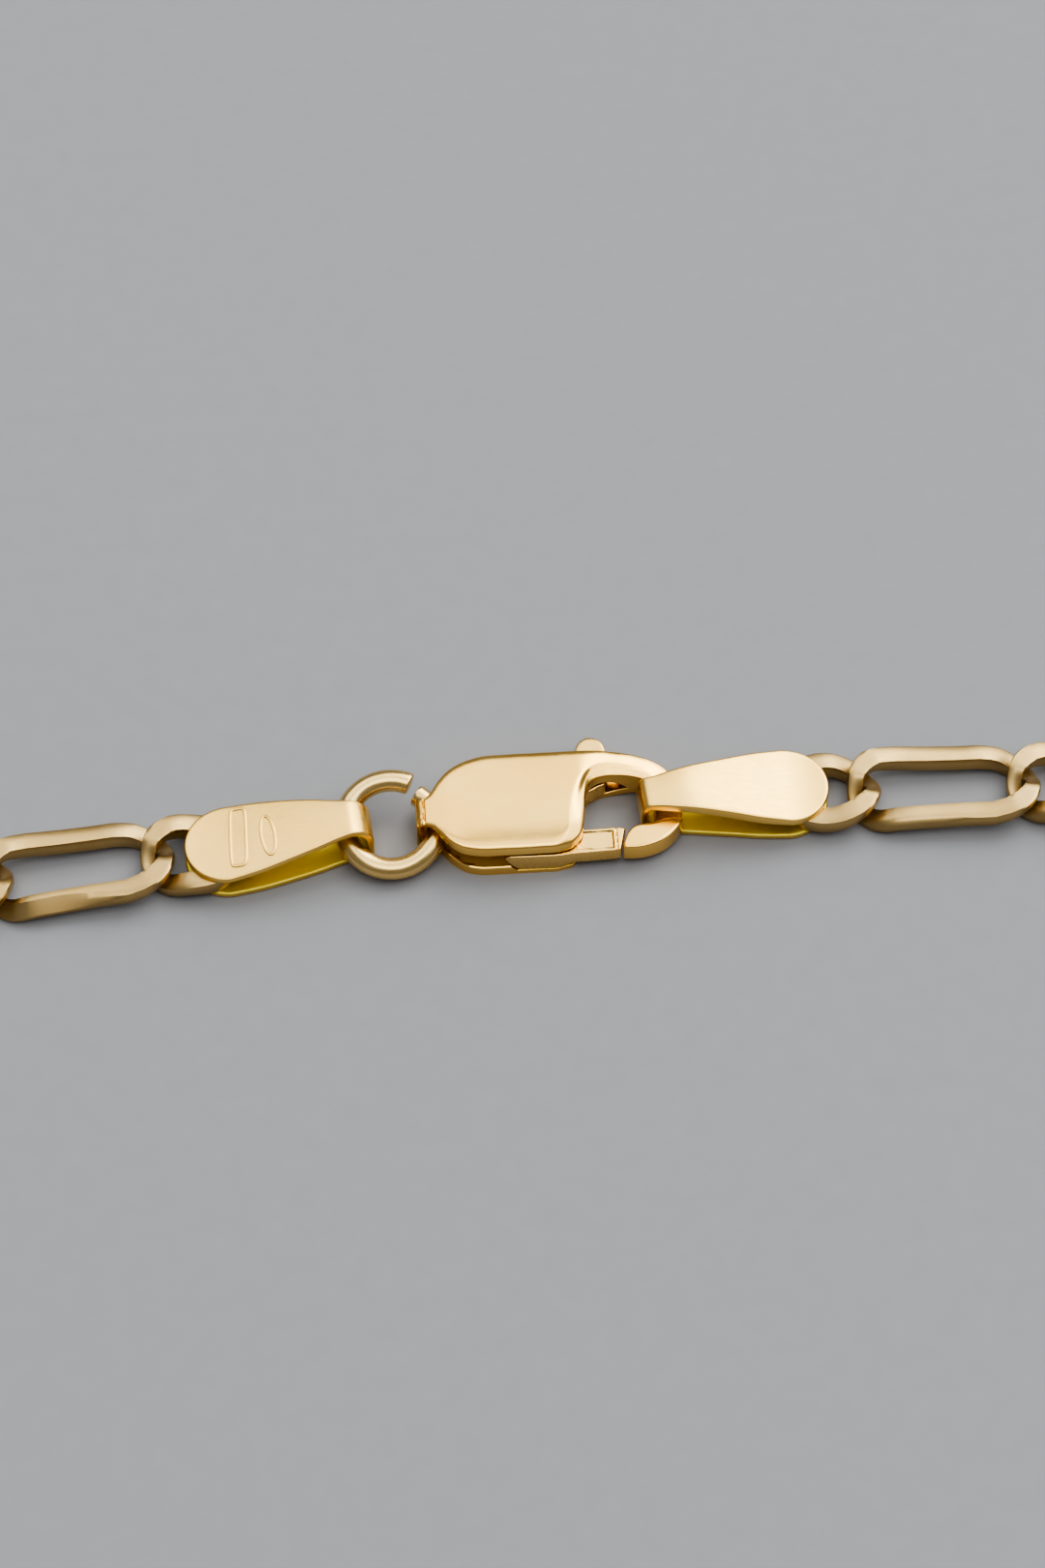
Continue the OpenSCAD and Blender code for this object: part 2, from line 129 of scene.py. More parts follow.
def link_points(corners, steps):
    """Rings of 16 points round a link's centre line: a square section with rounded corners, upright
    and square to the line in plan but for its roll, with a facet across its upper outer corner. It
    is cut level at half the link's height above and below by a soft minimum, the logarithm of a sum
    of exponentials."""
    line = through(corners, steps, True)
    ahead = np.roll(line, -1, 0) - np.roll(line, 1, 0)
    out = np.column_stack([ahead[:, 1], -ahead[:, 0]])
    out /= np.linalg.norm(out, axis=1)[:, None]
    a = np.radians([0, 0, 45, 90, 90, 90, 135, 180, 180, 180, 225, 270, 270, 270, 315, 360])
    side_x = np.array([1, 1, 1, 1, 0, -1, -1, -1, -1, -1, -1, -1, 0, 1, 1, 1])
    side_y = np.array([0, 1, 1, 1, 1, 1, 1, 1, 0, -1, -1, -1, -1, -1, -1, -1])
    r = np.where(np.cos(a) > -0.1, OUTER_R, INNER_R)
    across = side_x * (line[:, 3:4] / 2 - r) + r * np.cos(a)
    up = side_y * (line[:, 4:5] / 2 - r) + r * np.sin(a)
    facet = np.clip(line[:, 6], 0, 1)
    inset = np.maximum(FACET_IN * line[:, 3] * facet, OUTER_R)
    drop = np.maximum(FACET_DOWN * line[:, 4] * facet, OUTER_R)
    bulge = 0.5 - ROUND_BULGE * (1 - facet)
    across[:, 3], across[:, 2] = line[:, 3] / 2 - inset, line[:, 3] / 2 - bulge * inset
    up[:, 1], up[:, 2] = line[:, 4] / 2 - drop, line[:, 4] / 2 - bulge * drop
    across[:, 4], up[:, 0] = (across[:, 3] + across[:, 5]) / 2, (up[:, 1] + up[:, 15]) / 2
    roll = np.radians(line[:, 5:6])
    across, up = (across * np.cos(roll) - up * np.sin(roll),
                  across * np.sin(roll) + up * np.cos(roll))
    xy = line[:, None, :2] + out[:, None] * across[..., None]
    z = line[:, 2:3] + up
    for side in (1, -1):
        z = side * (LINK_H / 2 - CUT_BLEND * np.log1p(np.exp((LINK_H / 2 - side * z) / CUT_BLEND)))
    return np.dstack([xy, z])


def tube_faces(rings, sides, closed=True):
    """Squares of a tube of rings, wrapped round each ring and, if closed, from the last ring on to
    the first; an open tube gets a cap at each end."""
    i, j = np.meshgrid(np.arange(rings if closed else rings - 1), np.arange(sides), indexing="ij")
    k, m = (i + 1) % rings, (j + 1) % sides
    quads = np.stack([i * sides + j, k * sides + j, k * sides + m, i * sides + m], -1)
    quads = quads.reshape(-1, 4).tolist()
    if not closed:
        quads.append(list(range(sides)))
        quads.append(list(range(rings * sides - 1, (rings - 1) * sides - 1, -1)))
    return quads


def gold(name, colour, roughness, grain, depth):
    """Polished gold: metal whose colour and gloss drift slowly over the surface, with fine draw
    lines and handling marks in the bump and the gloss. The grain is the marks' noise scale, and the
    depth is the bump's, in metres."""
    finish = bpy.data.materials.new(name)
    finish.use_nodes = True
    nodes, wire = finish.node_tree.nodes, finish.node_tree.links.new
    shader = nodes["Principled BSDF"]
    shader.inputs["Metallic"].default_value = 1.0
    place = nodes.new("ShaderNodeTexCoord").outputs["Object"]
    cloud, marks = nodes.new("ShaderNodeTexNoise"), nodes.new("ShaderNodeTexNoise")
    cloud.inputs["Scale"].default_value = 420
    cloud.inputs["Detail"].default_value = 3
    marks.inputs["Scale"].default_value = grain
    marks.inputs["Detail"].default_value = 5
    marks.inputs["Roughness"].default_value = 0.62
    stretch = nodes.new("ShaderNodeMapping")
    stretch.inputs["Scale"].default_value = (0.35, 1.0, 1.0)
    wire(place, cloud.inputs["Vector"])
    wire(place, stretch.inputs["Vector"])
    wire(stretch.outputs["Vector"], marks.inputs["Vector"])
    tone = nodes.new("ShaderNodeValToRGB")
    tone.color_ramp.elements[0].position, tone.color_ramp.elements[1].position = 0.35, 0.7
    warm = [colour[0] * 0.97, colour[1] * 0.93, colour[2] * 0.84]
    tone.color_ramp.elements[0].color = (*warm, 1)
    tone.color_ramp.elements[1].color = (*colour, 1)
    wire(cloud.outputs["Fac"], tone.inputs["Fac"])
    wire(tone.outputs["Color"], shader.inputs["Base Color"])
    gloss = nodes.new("ShaderNodeMapRange")
    gloss.inputs["From Min"].default_value, gloss.inputs["From Max"].default_value = 0.3, 0.7
    gloss.inputs["To Min"].default_value = roughness * 0.88
    gloss.inputs["To Max"].default_value = roughness * 1.2
    wire(marks.outputs["Fac"], gloss.inputs["Value"])
    wire(gloss.outputs["Result"], shader.inputs["Roughness"])
    bump = nodes.new("ShaderNodeBump")
    bump.inputs["Distance"].default_value = depth
    bump.inputs["Strength"].default_value = 0.5
    wire(marks.outputs["Fac"], bump.inputs["Height"])
    wire(bump.outputs["Normal"], shader.inputs["Normal"])
    return finish


def put(name, points, faces, finish, body, nodes, sharp=38):
    """A finished piece from points in mm and faces, with its faces turned outwards. Edges sharper
    than the angle in degrees stay crisp."""
    mesh = bpy.data.meshes.new(name)
    mesh.from_pydata((np.asarray(points).reshape(-1, 3) / 1000).tolist(), [], faces)
    work = bmesh.new()
    work.from_mesh(mesh)
    bmesh.ops.recalc_face_normals(work, faces=work.faces)
    work.to_mesh(mesh)
    work.free()
    mesh.polygons.foreach_set("use_smooth", np.ones(len(mesh.polygons), bool))
    mesh.set_sharp_from_angle(angle=radians(sharp))
    mesh.materials.append(finish)
    made = bpy.data.objects.new(name, mesh)
    bpy.context.collection.objects.link(made)
    flats = made.modifiers.new("even_flats", "WEIGHTED_NORMAL")
    flats.keep_sharp = True
    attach(made, body)
    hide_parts(*nodes)
    return made


# The loop's length, and the four arcs that it lies in
small_pitch, long_pitch = SMALL_LINK[0] - LINK_OVERLAP, LONG_LINK[0] - LINK_OVERLAP
links_in_all = LONG_LINKS + (LONG_LINKS - 1) * SMALLS_PER_LONG
loop_l = (RIGHT_JOINT - LEFT_JOINT + LONG_LINKS * long_pitch
          + (links_in_all - LONG_LINKS) * small_pitch)
flat_half = (loop_l - 2 * np.pi * SIDE_R) / (4 * (FLAT_R - SIDE_R))
flat_l, side_l = FLAT_R * flat_half, SIDE_R * (np.pi - 2 * flat_half)
side_x = (FLAT_R - SIDE_R) * np.sin(flat_half)
middle_y = (FLAT_R - SIDE_R) * np.cos(flat_half) - FLAT_R
LOOP_Y = -(CLASP_FAR + 2 * middle_y - LINK_NEAR) / 2


def route(s):
    """Points on the oval at the lengths s, clockwise from the middle of its far side."""
    sign, s = np.sign(s), np.abs(s)
    far, side = s / FLAT_R, flat_half + (s - flat_l) / SIDE_R
    near = np.pi - flat_half + (s - flat_l - side_l) / FLAT_R
    x = np.where(s < flat_l, FLAT_R * np.sin(far), np.where(
        s < flat_l + side_l, side_x + SIDE_R * np.sin(side), FLAT_R * np.sin(near)))
    y = np.where(s < flat_l, FLAT_R * (np.cos(far) - 1), np.where(
        s < flat_l + side_l, middle_y + SIDE_R * np.cos(side),
        2 * middle_y + FLAT_R * (1 + np.cos(near))))
    return np.stack([sign * x, y + LOOP_Y], -1)


def turned(points, angles, places):
    """Copies of the points, each turned about Z by its angle and moved to its place."""
    c, s = np.cos(angles)[:, None], np.sin(angles)[:, None]
    x, y = points[None, :, 0], points[None, :, 1]
    z = np.broadcast_to(points[None, :, 2], (len(angles), len(points)))
    return np.stack([x * c - y * s + places[:, 0:1], x * s + y * c + places[:, 1:2], z], -1)


link_number = np.arange(links_in_all)
longs_before = (link_number + SMALLS_PER_LONG) // (SMALLS_PER_LONG + 1)
start_s = RIGHT_JOINT + longs_before * long_pitch + (link_number - longs_before) * small_pitch
joint_s = np.append(start_s, start_s[-1] + long_pitch)
joints = route(np.where(joint_s > loop_l / 2, joint_s - loop_l, joint_s))
link_middle = (joints[1:] + joints[:-1]) / 2
link_turn = np.arctan2(*(joints[1:] - joints[:-1]).T[::-1])
is_long = link_number % (SMALLS_PER_LONG + 1) == 0


def run_of_links(chosen, facet):
    """All chosen links, small and long, as one set of points and faces."""
    small_link = link_points(link_corners(SMALL_LINK, SMALL_RISE, SMALL_DIP, facet), LINK_STEPS)
    long_link = link_points(link_corners(LONG_LINK, LONG_RISE, LONG_DIP, facet), LINK_STEPS)
    points, faces, start = [], [], 0
    for shape, wanted in ((small_link, ~is_long), (long_link, is_long)):
        which = chosen[wanted[chosen]]
        if not len(which):
            continue
        flat = shape.reshape(-1, 3) + [0, 0, LINK_H / 2]
        points.append(turned(flat, link_turn[which], link_middle[which]).reshape(-1, 3))
        one = np.array(tube_faces(*shape.shape[:2]))
        firsts = start + np.arange(len(which)) * len(flat)
        faces += (one[None] + firsts[:, None, None]).reshape(-1, 4).tolist()
        start += len(which) * len(flat)
    return np.vstack(points), faces


link_gold_painted_shade = gold("polished_link_gold", LINK_GOLD_PAINTED_SHADE, 0.36, 9000, 0.0000008)
back_link = links_in_all // 2
for name, node, first, last, facet in (
        ("right_long_link_cut", "right_long_link", 0, 0, 0.5),
        ("links_right", "right_chain", 1, back_link, NEAR_FACET),
        ("links_left", "left_chain", back_link + 1, links_in_all - 2, NEAR_FACET),
        ("left_long_link_cut", "left_long_link", links_in_all - 1, links_in_all - 1, 1.0)):
    put(name, *run_of_links(np.arange(first, last + 1), facet), link_gold_painted_shade, "necklace", [node],
        sharp=30)


# End tags
# A waisted strip of gold sheet folded in two round the clasp's claw or the jump ring. Its two round
# ends are soldered to the flattened inner half of the chain's end link. Inside it is left matte, in
# a yellower gold that is painted reflection.
TAG_L, TAG_END_R = 8.0, 1.85
TAG_SHEET = 0.3
TAG_EDGE = 0.09                  # rounding of the sheet's edges
TAG_CROWN = 0.05                 # how far the upper plate bows outwards
TAG_END_H = 1.36                 # height over both plates at the round end
TAG_LOW_R = 0.4                  # outer radius of the fold's lower bend
PLATE_FADE, TOP_FADE = 3.0, 1.5  # lengths over which the bow fades at a round end and at the fold
RIGHT_EXTRA = 0.18               # how much thicker inwards the right tag's upper plate is
TAG_COLUMNS, TAG_TIP_ROWS, TAG_ROWS = 29, 16, 110
TAG_TOP_ROWS = 48                # points of the side view that lie on the upper plate
# Distance from the fold and height of the arched upper plate
TAG_ARCH = [(7.1, 1.365), (6.4, 1.41), (5.0, 1.66), (3.5, 1.95), (1.8, 2.19)]
# Upper radius of the fold, how far its wall bulges, and its height, for the two tags
LEFT_FOLD, RIGHT_FOLD = (1.05, 0.0, 2.26), (0.3, 0.2, 2.14)
# Frames left bare for stamps on the left tag: middle, half its length along the tag and across it,
# turn in degrees, power of its curve
STAMP_FRAMES = ((5.68, -0.14, 0.33, 1.42, -5.0, 5.5), (4.43, 0.12, 0.28, 0.98, 2.0, 2.0))
BEAD_W, BEAD_H, BEAD_UP = 0.07, 0.05, 0.01  # half width and half height of their bead, and its lift
BEAD_STEPS, BEAD_SIDES = 72, 8
# Distance from the fold and half the tag's width there
LEFT_WAIST = np.array([(-0.3, 0.83), (0.6, 0.84), (1.3, 0.95), (2.4, 1.24), (3.6, 1.5),
                       (4.9, 1.73), (6.15, 1.85)])
RIGHT_WAIST = np.array([(-0.3, 0.76), (0.5, 0.78), (1.2, 0.93), (2.4, 1.18), (3.6, 1.42),
                        (4.9, 1.69), (6.15, 1.85)])
# x and y of a tag's fold, and its turn in degrees
RIGHT_TAG_AT = (5.6, -0.32, 1.2)
LEFT_TAG_AT = (-5.98, -0.2, 182.2)
SOLDER_SINK = 0.06               # how far the end link is sunk into the two plates together
SOLDERED_T = TAG_END_H - 2 * TAG_SHEET + SOLDER_SINK
# Yellower gold between the plates: painted reflection of the plates in each other
TAG_INSIDE_PAINTED_REFLECTION = (0.85, 0.7, 0.17)   # colour between the plates


def arc(centre, radius, start, end, steps):
    """Points of a circular arc between two angles in degrees."""
    a = np.radians(np.linspace(start, end, steps))
    return np.column_stack([centre[0] + radius * np.cos(a), centre[1] + radius * np.sin(a)])


def bent(profile, along, across, lift):
    """A flat sheet bent to a side view: each point goes to its length along the profile line, and
    off it by its lift, square to the line."""
    step = np.linalg.norm(np.diff(profile, axis=0), axis=1)
    length = np.append(0, np.cumsum(step))
    slope = np.gradient(profile, length, axis=0)
    slope /= np.linalg.norm(slope, axis=1)[:, None]
    x, z = np.interp(along, length, profile[:, 0]), np.interp(along, length, profile[:, 1])
    dx, dz = np.interp(along, length, slope[:, 0]), np.interp(along, length, slope[:, 1])
    return np.stack([x + dz * lift, across, z - dx * lift], -1)


def to_edge(points, outline):
    """Distance of each point of a plan to an outline of straight pieces."""
    a, b = outline[:-1], outline[1:]
    line = b - a
    size = (line**2).sum(-1) + 1e-12
    flat = points.reshape(-1, 1, 2)
    share = np.clip(((flat - a) * line).sum(-1) / size, 0, 1)
    gap = np.linalg.norm(flat - a - share[..., None] * line, axis=-1).min(1)
    return gap.reshape(points.shape[:-1])


def rolled(gap, radius):
    """How far a rolled edge has dropped at a distance from the outline: a quarter circle."""
    inside = np.clip(gap / radius, 0, 1)
    return radius * (1 - np.sqrt(1 - (1 - inside) ** 2))


def skin(top, bottom):
    """Closed body between an upper and a lower grid of points whose borders lie above each
    other: the rows of both grids are joined into rings, and the two ends are closed by strips."""
    rows, columns = top.shape[:2]
    loops = np.concatenate([top, bottom[:, ::-1]], 1)
    faces = tube_faces(rows, 2 * columns, False)[:-2]
    j = np.arange(columns - 1)
    for first in (0, (rows - 1) * 2 * columns):
        cap = np.stack([first + j, first + j + 1, first + 2 * columns - 2 - j,
                        first + 2 * columns - 1 - j], -1)
        faces += cap.tolist()
    return loops.reshape(-1, 3), faces


def joined(*bodies):
    """Several bodies' points and faces in one list."""
    points, faces, start = [], [], 0
    for p, f in bodies:
        points.append(p)
        faces += [[k + start for k in face] for face in f]
        start += len(p)
    return np.vstack(points), faces


def moved(points, at):
    """Points turned about Z by at[2] degrees and moved to at[0], at[1] in the loop's frame."""
    a = radians(at[2])
    x = points[..., 0] * np.cos(a) - points[..., 1] * np.sin(a) + at[0]
    y = points[..., 0] * np.sin(a) + points[..., 1] * np.cos(a) + at[1] + LOOP_Y
    return np.stack([x, y, points[..., 2]], -1)


def tag_side(fold):
    """Side view of the middle of the sheet: down from the upper end, round the fold, whose wall
    bulges as half a sine wave, and back along the table."""
    mid = TAG_SHEET / 2
    top_r, bulge, high = fold
    arch = np.array([(TAG_L, TAG_END_H), *TAG_ARCH, (top_r, high)]) - [0, mid]
    bend = np.vstack([arc((top_r, high - top_r), top_r - mid, 90, 180, 14),
                      [(mid, z) for z in np.linspace(high - top_r, TAG_LOW_R, 10)[1:-1]],
                      arc((TAG_LOW_R, TAG_LOW_R), TAG_LOW_R - mid, 180, 270, 10)])
    bend[:, 0] -= bulge * np.sin(np.pi * np.clip(bend[:, 1] / high, 0, 1)) ** 0.8
    return np.vstack([through(arch, 6, False)[:-1], bend, [(TAG_L, mid)]])


def tag_strip(fold, waist, extra):
    """The folded strip: its plan is drawn flat, with a grid that turns into a round end at each
    tip, by mapping a square to a disc, and is then bent to the side view. The upper plate is
    thicker inwards by extra."""
    mid, side = TAG_SHEET / 2, tag_side(fold)
    whole = np.linalg.norm(np.diff(side, axis=0), axis=1).sum()
    length = np.append(0, np.cumsum(np.linalg.norm(np.diff(side, axis=0), axis=1)))
    v = np.sin(np.linspace(-1, 1, TAG_COLUMNS) * np.pi / 2)[None]
    u = np.sin(np.linspace(1, 0, TAG_TIP_ROWS)[:, None] * np.pi / 2)
    out, wide = TAG_END_R * u * np.sqrt(1 - v**2 / 2), TAG_END_R * v * np.sqrt(1 - u**2 / 2)
    straight = np.linspace(TAG_END_R, whole - TAG_END_R, TAG_ROWS)[1:-1, None]
    waist = through(waist, 8, False)
    half = np.interp(np.interp(straight, length, side[:, 0]), waist[:, 0], waist[:, 1])
    along = np.vstack([TAG_END_R - out, straight + 0 * v, whole - TAG_END_R + out[::-1]])
    across = np.vstack([wide, half * v, wide[::-1]])
    plan = np.stack([along, across], -1)
    outline = np.vstack([plan[0], plan[:, -1], plan[-1, ::-1], plan[::-1, 0]])
    thick = mid - rolled(to_edge(plan, outline), TAG_EDGE)
    plate = np.clip(np.minimum(along, whole - along) / PLATE_FADE, 0, 1)
    upper = np.clip((0.5 * whole - along) / TOP_FADE, 0, 1)
    bow = TAG_CROWN * (1 - v**2) * plate**2 * upper
    inner = bow - thick - extra * plate * upper
    return skin(bent(side, along, across, bow + thick), bent(side, along, across, inner))


def stamp_frame(middle_x, middle_y, half_x, half_y, turn, power):
    """Raised line round a place for a stamp: a thin bead along a closed curve, |x|^n + |y|^n = 1,
    where a power n of 2 gives an oval and a high one a rounded block, half sunk in the upper
    plate."""
    t = np.linspace(0, 2 * np.pi, BEAD_STEPS, endpoint=False)
    a = np.linspace(0, 2 * np.pi, BEAD_SIDES, endpoint=False)
    x = half_x * np.sign(np.cos(t)) * np.abs(np.cos(t)) ** (2 / power)
    y = half_y * np.sign(np.sin(t)) * np.abs(np.sin(t)) ** (2 / power)
    c, s = np.cos(radians(turn)), np.sin(radians(turn))
    line = np.column_stack([middle_x + x * c - y * s, middle_y + x * s + y * c])
    ahead = np.roll(line, -1, 0) - np.roll(line, 1, 0)
    out = np.column_stack([ahead[:, 1], -ahead[:, 0]]) / np.linalg.norm(ahead, axis=1)[:, None]
    side = tag_side(LEFT_FOLD)[:TAG_TOP_ROWS]
    top = np.interp(line[:, 0], side[::-1, 0], side[::-1, 1]) + TAG_SHEET / 2 + BEAD_UP
    waist = np.interp(line[:, 0], LEFT_WAIST[:, 0], LEFT_WAIST[:, 1])
    plate = np.clip((TAG_L - line[:, 0]) / PLATE_FADE, 0, 1)
    top += TAG_CROWN * (1 - (line[:, 1] / waist) ** 2) * plate**2
    xy = line[:, None] + BEAD_W * np.cos(a)[None, :, None] * out[:, None]
    points = np.dstack([xy, top[:, None] + BEAD_H * np.sin(a)])
    return points.reshape(-1, 3), tube_faces(BEAD_STEPS, BEAD_SIDES)


def end_link(at, joint):
    """The chain's end link: its inner half is flat, its outer half is twisted like the others."""
    reach, a = TAG_L - TAG_END_R, radians(at[2])
    middle = np.array([at[0] + reach * np.cos(a), at[1] + reach * np.sin(a) + LOOP_Y])
    corners = link_corners(SMALL_LINK, SMALL_RISE, SMALL_DIP, back_twist=0)
    corners[len(corners) // 2:, 4:] = SOLDERED_T, 0, 0
    points = link_points(corners, END_LINK_STEPS)
    points = points + [(LINK_OVERLAP - SMALL_LINK[0]) / 2, 0, LINK_H / 2]
    faces = tube_faces(*points.shape[:2])
    turn = np.arctan2(*(joint - middle)[::-1])
    return turned(points.reshape(-1, 3), np.array([turn]), joint[None])[0], faces


tag_gold = gold("polished_tag_gold", (0.95, 0.655, 0.24), 0.3, 7000, 0.0000008)
matte_gold_painted_reflection = gold("matte_inside_gold_painted_reflection", TAG_INSIDE_PAINTED_REFLECTION, 0.5, 4000, 0.00002)
for name, node, at, joint, shape, frames in (
        ("left_tag", "left_end_tag", LEFT_TAG_AT, joints[-1], (LEFT_FOLD, LEFT_WAIST, 0.0),
         STAMP_FRAMES),
        ("right_tag", "right_end_tag", RIGHT_TAG_AT, joints[0],
         (RIGHT_FOLD, RIGHT_WAIST, RIGHT_EXTRA), ())):
    strip = tag_strip(*shape)
    points, faces = joined(strip, *[stamp_frame(*frame_at) for frame_at in frames])
    tag = put(name, moved(points, at), faces, tag_gold, "necklace", [node])
    tag.data.materials.append(matte_gold_painted_reflection)
    # The faces of a ring's second half lie between the plates and take the matte gold with painted
    # reflection
    ring = 2 * TAG_COLUMNS
    along_ring = np.arange(len(tag.data.polygons)) % ring
    strip_faces = (len(strip[0]) // ring - 1) * ring
    inner = (along_ring >= TAG_COLUMNS) & (along_ring < ring - 1)
    inner &= np.arange(len(along_ring)) < strip_faces
    tag.data.polygons.foreach_set("material_index", inner.astype(np.int32))
    put(name + "_end_link", *end_link(at, joint), link_gold_painted_shade, "necklace", [node], sharp=30)


# Jump ring
# A ring of round gold wire, cut through and closed again with its ends a little apart. It hangs in
# the left tag's fold and in the clasp's neck.
RING_AT = (-5.16, -0.1)
RING_D, RING_WIRE, RING_LEAN = 4.9, 0.95, 15.0
RING_CUT_AT, RING_CUT = 56.5, 7.5  # middle of the cut and its width, in degrees
RING_SPRUNG = (0.0, -0.13, -0.4)  # how far the end at the clasp has sprung out of line
RING_LOW_Z = 0.15                # its lowest side above the table
# Dulling of a cut end: radians in from the cut, and the share of the wire's size there
RING_DULL, RING_DULL_SIZE, RING_WHOLE = np.array([0.0, 0.012, 0.04]), [0.86, 0.96, 1.0], 0.06
RING_STEPS, RING_SIDES = 120, 24


def jump_ring():
    """A round wire carried along most of a circle, leaned about X, with the end at the clasp moved
    aside little by little. Its cut ends are slightly dulled by three rings of falling size."""
    coil = (RING_D - RING_WIRE) / 2
    size = np.concatenate([RING_DULL_SIZE, np.ones(RING_STEPS), RING_DULL_SIZE[::-1]])
    first, last = radians(RING_CUT_AT + RING_CUT / 2), radians(RING_CUT_AT + 360 - RING_CUT / 2)
    middle = np.linspace(first + RING_WHOLE, last - RING_WHOLE, RING_STEPS)
    turn = np.concatenate([first + RING_DULL, middle, last - RING_DULL[::-1]])
    a = np.linspace(0, 2 * np.pi, RING_SIDES, endpoint=False)
    r = coil + 0.5 * RING_WIRE * size[:, None] * np.cos(a)
    x, y = r * np.cos(turn)[:, None], r * np.sin(turn)[:, None]
    z = 0.5 * RING_WIRE * size[:, None] * np.sin(a)
    lean = radians(RING_LEAN)
    up = RING_LOW_Z + RING_WIRE / 2 + coil * np.sin(lean)
    points = np.stack([x, y * np.cos(lean) - z * np.sin(lean),
                       y * np.sin(lean) + z * np.cos(lean) + up], -1)
    share = np.clip((turn - radians(RING_CUT_AT + 270)) / radians(90 - RING_CUT / 2), 0, 1)
    points += (share * share * (3 - 2 * share))[:, None, None] * np.array(RING_SPRUNG)
    return moved(points, (*RING_AT, 0)).reshape(-1, 3), tube_faces(len(turn), RING_SIDES, False)


ring_gold = gold("polished_ring_gold", (0.84, 0.615, 0.29), 0.24, 6000, 0.000003)
put("ring", *jump_ring(), ring_gold, "necklace", ["jump_ring"], sharp=30)


# Clasp body
# A lobster clasp pressed from gold sheet: a pillowed shell over a flat tray, with a solid claw that
# runs on from its far arm and turns round the mouth. The tray's tongue is folded up round the jump
# ring as a neck and soldered to the shell.
CLASP_AT = (0.75, 0.05, -2.8)    # x and y of the clasp's own origin, and its turn in degrees
TRAY_T, WALL_T = 0.22, 0.3       # sheet of the tray, and of the shell and the far wall
FAR_EDGE_R = 0.3                 # largest edge radius on a slab's far side
HALF_W = 2.38                    # half the shell's width
FAR_FALL = 0.35                  # share of the crown's fall that the far side has
LIP_W = 0.2                      # a lip fades out from 0.5 to 1.5 times this
ROUND_R, ROUND_SHARE = 0.06, 0.85  # quarter circle along an edge, and how much of it is taken
EDGE_FALL = 0.21                 # fall of the parabola along an edge, in shares of its radius
HOLLOW_IN = 0.15                 # a hollow deepens from 1.5 to 2.5 times this, in from the outline
LEAST_T = 0.02                   # least thickness at an edge
# Stations from the neck along the shell and the far arm and round the claw under the beak: the
# point on the outer side, the point on the inner side, crown height, fall to the inner edge, edge
# radius, bottom, share of a hollow underside
SHELL_AND_CLAW = [
    (-4.5, 0.18, -4.5, -1.04, 2.0, 0.1, 0.16, 1.8, 0.0),
    (-4.2, 0.46, -4.17, -1.2, 2.05, 0.14, 0.24, 1.78, 0.0),
    (-3.87, 1.0, -3.9, -1.48, 2.08, 0.18, 0.28, 1.7, 0.0),
    (-3.5, 1.47, -3.57, -1.83, 2.1, 0.22, 0.3, 1.5, 0.5),
    (-3.0, 1.87, -3.1, -2.15, 2.1, 0.26, 0.3, 1.34, 1.0),
    (-2.1, 2.24, -2.35, -2.35, 2.1, 0.3, 0.3, 1.26, 1.0),
    (-0.9, 2.33, -1.1, -2.39, 2.1, 0.32, 0.3, 1.25, 1.0),
    (0.2, 2.33, 0.35, -2.39, 2.1, 0.32, 0.3, 1.25, 1.0),
    (0.95, 2.33, 1.22, -2.34, 2.1, 0.32, 0.4, 1.25, 1.0),
    (1.5, 2.33, 1.83, -2.08, 2.1, 0.32, 0.75, 1.25, 1.0),
    (1.9, 2.33, 2.2, -1.5, 2.1, 0.32, 0.9, 1.25, 1.0),
    (2.2, 2.33, 2.32, -0.75, 2.095, 0.32, 1.0, 1.25, 1.0),
    (2.5, 2.33, 2.37, -0.1, 2.08, 0.32, 1.0, 1.25, 1.0),
    (2.8, 2.33, 2.48, 0.42, 2.055, 0.32, 1.0, 1.25, 1.0),
    (3.15, 2.33, 2.77, 0.84, 2.005, 0.3, 1.0, 1.25, 1.0),
    (3.6, 2.3, 3.28, 1.05, 1.93, 0.3, 0.95, 1.25, 1.0),
    (4.15, 2.24, 3.95, 1.1, 1.83, 0.25, 0.8, 1.0, 0.3),
    (4.75, 2.13, 4.6, 1.04, 1.7, 0.2, 0.6, 0.45, 0.0),
    (5.4, 1.89, 5.05, 0.88, 1.57, 0.1, 0.45, 0.43, 0.0),
    (5.95, 1.53, 5.28, 0.55, 1.42, 0.05, 0.36, 0.43, 0.0),
    (6.4, 0.8, 5.33, 0.15, 1.18, 0.05, 0.3, 0.43, 0.0),
    (6.55, 0.05, 5.33, -0.25, 1.02, 0.05, 0.25, 0.43, 0.0),
    (6.53, -0.45, 5.3, -0.6, 0.97, 0.03, 0.2, 0.43, 0.0),
    (6.42, -0.85, 5.24, -0.92, 0.95, 0.02, 0.15, 0.43, 0.0),
    (6.2, -1.15, 5.18, -1.2, 0.95, 0.02, 0.1, 0.45, 0.0),
]
